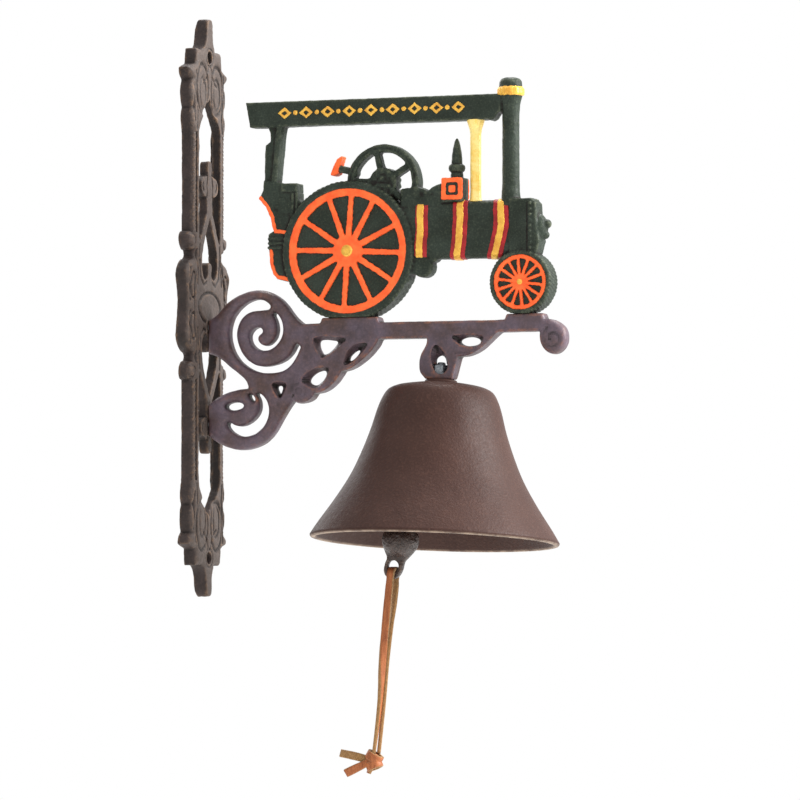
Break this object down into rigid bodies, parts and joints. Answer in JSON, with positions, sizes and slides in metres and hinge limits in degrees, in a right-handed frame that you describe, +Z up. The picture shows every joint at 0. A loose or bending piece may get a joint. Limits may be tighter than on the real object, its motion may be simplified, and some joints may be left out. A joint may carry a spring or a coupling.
{
  "type": "wall mounted bell",
  "caption": "Cast wall bell: pierced back plate, scroll bracket with a traction engine relief, flared bell, swinging clapper and leather thong.",
  "frame": {"origin": "middle of the back plate's back face, where it lies on the wall", "axes": "+X out from the wall along the bracket, +Z up, Y sideways along the wall"},
  "size_m": [0.2104, 0.1313, 0.4057],
  "materials": {
    "plate_bronze": "grey-brown bronze paint over rough casting, rubbed edges",
    "arm_plum": "dark plum-brown paint, rust-coloured rubbed edges",
    "engine_green": "dark green-black paint with hand-picked orange, red and gold",
    "bell_brown": "satin brown powder coat with a fine orange-peel grain",
    "clapper_iron": "satin brown-black paint",
    "steel": "dull plated steel",
    "leather": "orange-brown grain face, pale suede back and edges"
  },
  "bodies": {
    "bracket": {"back_plate": "plate_bronze", "bracket_arm": "arm_plum", "traction_engine": "engine_green", "arm_screw_upper": "steel", "arm_screw_lower": "steel", "bell": "bell_brown", "hanger_eye_bolt": "steel", "hanger_nut": "steel", "hanger_washer": "steel", "crown_washer": "steel"},
    "link": {"clapper_link": "steel"},
    "clapper": {"clapper": "clapper_iron"},
    "thong": {"thong_front": "leather", "thong_back": "leather", "thong_knot": "leather"}
  },
  "joints": [
    {"name": "link_swing", "type": "hinge", "parent": "bracket", "child": "link", "pos_m": [0.13924, -0.001, -0.05586], "axis": [1, 0, 0], "range_deg": [-16, 10]},
    {"name": "clapper_swing", "type": "hinge", "parent": "link", "child": "clapper", "pos_m": [0.13924, -0.001, -0.06216], "axis": [0, 1, 0], "range_deg": [-53, 17]},
    {"name": "thong_swing", "type": "hinge", "parent": "clapper", "child": "thong", "pos_m": [0.11349, -0.001, -0.13914], "axis": [0, 1, 0], "range_deg": [-18, 14]}
  ]
}
